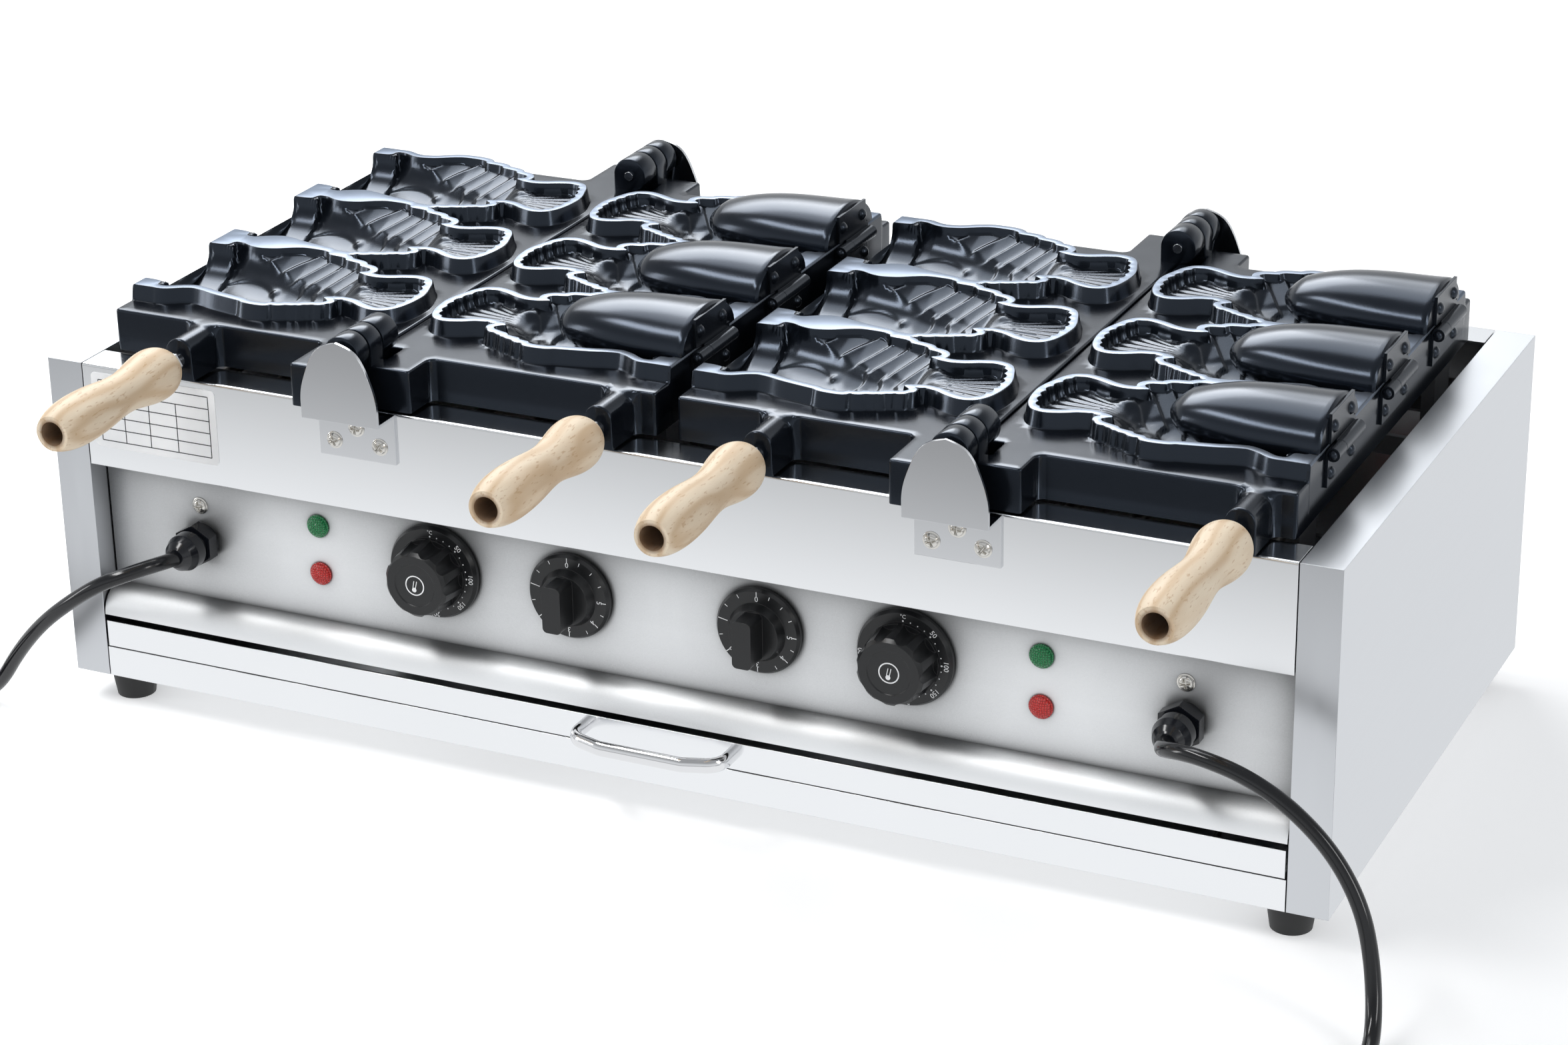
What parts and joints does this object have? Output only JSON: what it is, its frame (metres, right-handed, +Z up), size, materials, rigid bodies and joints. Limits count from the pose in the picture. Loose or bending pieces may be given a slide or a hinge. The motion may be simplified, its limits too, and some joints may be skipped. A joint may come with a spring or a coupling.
{
  "type": "fish-cake maker",
  "caption": "Electric countertop maker for filled fish-shaped cakes, with pairs of hinged mould plates on a steel cabinet, swinging mouth horns, dials and a crumb tray.",
  "frame": {"origin": "on the tabletop, under the middle of the machine's bounding box without its leads", "axes": "+Z up, +X to the user's right, -Y towards the user"},
  "size_m": [1.176, 0.675, 0.2862],
  "materials": {
    "stainless": "fine horizontal brushing, nearly polished",
    "inner_steel": "plain mill finish",
    "bracket_steel": "polished",
    "screw_steel": "bright",
    "rod_steel": "zinc plated",
    "leaf_steel": "satin non-stick coating",
    "nonstick_casting": "satin black non-stick coating on cast aluminium",
    "beech": "oiled",
    "chrome_trim": "mirror",
    "knob_plastic": "satin, with white print",
    "gland_plastic": "gloss",
    "cord_jacket": "glossy",
    "plug_plastic": "gloss",
    "switch_plastic": "matte",
    "green_lens": "clear, prismatic",
    "red_lens": "clear, prismatic",
    "heater_sheath": "heat-darkened",
    "foot_rubber": "matte"
  },
  "bodies": {
    "cabinet": {"side_panel_left": "stainless", "side_panel_right": "stainless", "front_panel": "stainless", "control_panel": "stainless", "base_pan": "stainless", "rear_panel": "stainless", "feet": "foot_rubber", "bracket_screws": "screw_steel", "earth_screws": "screw_steel", "tray_runners": "inner_steel", "heater_shelf": "inner_steel", "heating_elements": "heater_sheath", "thermostats": "switch_plastic", "timers": "switch_plastic", "green_lamps": "green_lens", "red_lamps": "red_lens", "left_unit_front_bracket": "bracket_steel", "left_unit_rear_bracket": "bracket_steel", "right_unit_front_bracket": "bracket_steel", "right_unit_rear_bracket": "bracket_steel", "left_cable_gland": "gland_plastic", "left_power_cord": "cord_jacket", "left_cord_coil": "cord_jacket", "left_plug": "plug_plastic", "right_cable_gland": "gland_plastic", "right_power_cord": "cord_jacket", "right_cord_coil": "cord_jacket", "right_plug": "plug_plastic"},
    "tray": {"tray_front": "stainless", "tray_floor": "stainless", "tray_left_wall": "stainless", "tray_right_wall": "stainless", "tray_back_wall": "stainless", "tray_handle": "chrome_trim"},
    "left_unit_left_half": {"left_unit_left_mould": "nonstick_casting", "left_unit_left_handle_rod": "rod_steel", "left_unit_left_grip": "beech"},
    "left_unit_right_half": {"left_unit_right_mould": "nonstick_casting", "left_unit_right_handle_rod": "rod_steel", "left_unit_right_grip": "beech", "left_unit_fixed_leaves": "leaf_steel"},
    "left_unit_front_horn_swing": {"left_unit_front_horn": "nonstick_casting", "left_unit_front_horn_leaf": "leaf_steel"},
    "left_unit_middle_horn_swing": {"left_unit_middle_horn": "nonstick_casting", "left_unit_middle_horn_leaf": "leaf_steel"},
    "left_unit_rear_horn_swing": {"left_unit_rear_horn": "nonstick_casting", "left_unit_rear_horn_leaf": "leaf_steel"},
    "right_unit_left_half": {"right_unit_left_mould": "nonstick_casting", "right_unit_left_handle_rod": "rod_steel", "right_unit_left_grip": "beech"},
    "right_unit_right_half": {"right_unit_right_mould": "nonstick_casting", "right_unit_right_handle_rod": "rod_steel", "right_unit_right_grip": "beech", "right_unit_fixed_leaves": "leaf_steel"},
    "right_unit_front_horn_swing": {"right_unit_front_horn": "nonstick_casting", "right_unit_front_horn_leaf": "leaf_steel"},
    "right_unit_middle_horn_swing": {"right_unit_middle_horn": "nonstick_casting", "right_unit_middle_horn_leaf": "leaf_steel"},
    "right_unit_rear_horn_swing": {"right_unit_rear_horn": "nonstick_casting", "right_unit_rear_horn_leaf": "leaf_steel"},
    "left_thermostat_dial": {"left_thermostat_knob": "knob_plastic"},
    "left_timer_dial": {"left_timer_knob": "knob_plastic"},
    "right_thermostat_dial": {"right_thermostat_knob": "knob_plastic"},
    "right_timer_dial": {"right_timer_knob": "knob_plastic"}
  },
  "joints": [
    {"name": "left_unit_left_half_fold", "type": "hinge", "parent": "cabinet", "child": "left_unit_left_half", "pos_m": [-0.19, 0, 0.26525], "axis": [0, 1, 0], "range_deg": [0, 180]},
    {"name": "left_unit_right_half_fold", "type": "hinge", "parent": "cabinet", "child": "left_unit_right_half", "pos_m": [-0.19, 0, 0.26525], "axis": [0, -1, 0], "range_deg": [0, 180]},
    {"name": "left_unit_front_horn_hinge", "type": "hinge", "parent": "left_unit_right_half", "child": "left_unit_front_horn_swing", "pos_m": [-0.0025, -0.0405, 0.2615], "axis": [0, -1, 0], "range_deg": [-70, 0]},
    {"name": "left_unit_middle_horn_hinge", "type": "hinge", "parent": "left_unit_right_half", "child": "left_unit_middle_horn_swing", "pos_m": [-0.0025, 0.0595, 0.2615], "axis": [0, -1, 0], "range_deg": [-70, 0]},
    {"name": "left_unit_rear_horn_hinge", "type": "hinge", "parent": "left_unit_right_half", "child": "left_unit_rear_horn_swing", "pos_m": [-0.0025, 0.1595, 0.2615], "axis": [0, -1, 0], "range_deg": [-70, 0]},
    {"name": "right_unit_left_half_fold", "type": "hinge", "parent": "cabinet", "child": "right_unit_left_half", "pos_m": [0.19, 0, 0.26525], "axis": [0, 1, 0], "range_deg": [0, 180]},
    {"name": "right_unit_right_half_fold", "type": "hinge", "parent": "cabinet", "child": "right_unit_right_half", "pos_m": [0.19, 0, 0.26525], "axis": [0, -1, 0], "range_deg": [0, 180]},
    {"name": "right_unit_front_horn_hinge", "type": "hinge", "parent": "right_unit_right_half", "child": "right_unit_front_horn_swing", "pos_m": [0.3775, -0.0405, 0.2615], "axis": [0, -1, 0], "range_deg": [-170, 0]},
    {"name": "right_unit_middle_horn_hinge", "type": "hinge", "parent": "right_unit_right_half", "child": "right_unit_middle_horn_swing", "pos_m": [0.3775, 0.0595, 0.2615], "axis": [0, -1, 0], "range_deg": [-170, 0]},
    {"name": "right_unit_rear_horn_hinge", "type": "hinge", "parent": "right_unit_right_half", "child": "right_unit_rear_horn_swing", "pos_m": [0.3775, 0.1595, 0.2615], "axis": [0, -1, 0], "range_deg": [-170, 0]},
    {"name": "tray_slide", "type": "slide", "parent": "cabinet", "child": "tray", "axis": [0, -1, 0], "range_m": [0, 0.25]},
    {"name": "left_thermostat_turn", "type": "hinge", "parent": "cabinet", "child": "left_thermostat_dial", "pos_m": [-0.152, -0.118, 0.125], "axis": [0, 1, 0], "range_deg": [0, 270]},
    {"name": "left_timer_turn", "type": "hinge", "parent": "cabinet", "child": "left_timer_dial", "pos_m": [-0.061, -0.118, 0.125], "axis": [0, 1, 0], "range_deg": [0, 300]},
    {"name": "right_thermostat_turn", "type": "hinge", "parent": "cabinet", "child": "right_thermostat_dial", "pos_m": [0.152, -0.118, 0.125], "axis": [0, 1, 0], "range_deg": [0, 270]},
    {"name": "right_timer_turn", "type": "hinge", "parent": "cabinet", "child": "right_timer_dial", "pos_m": [0.061, -0.118, 0.125], "axis": [0, 1, 0], "range_deg": [0, 300]}
  ]
}
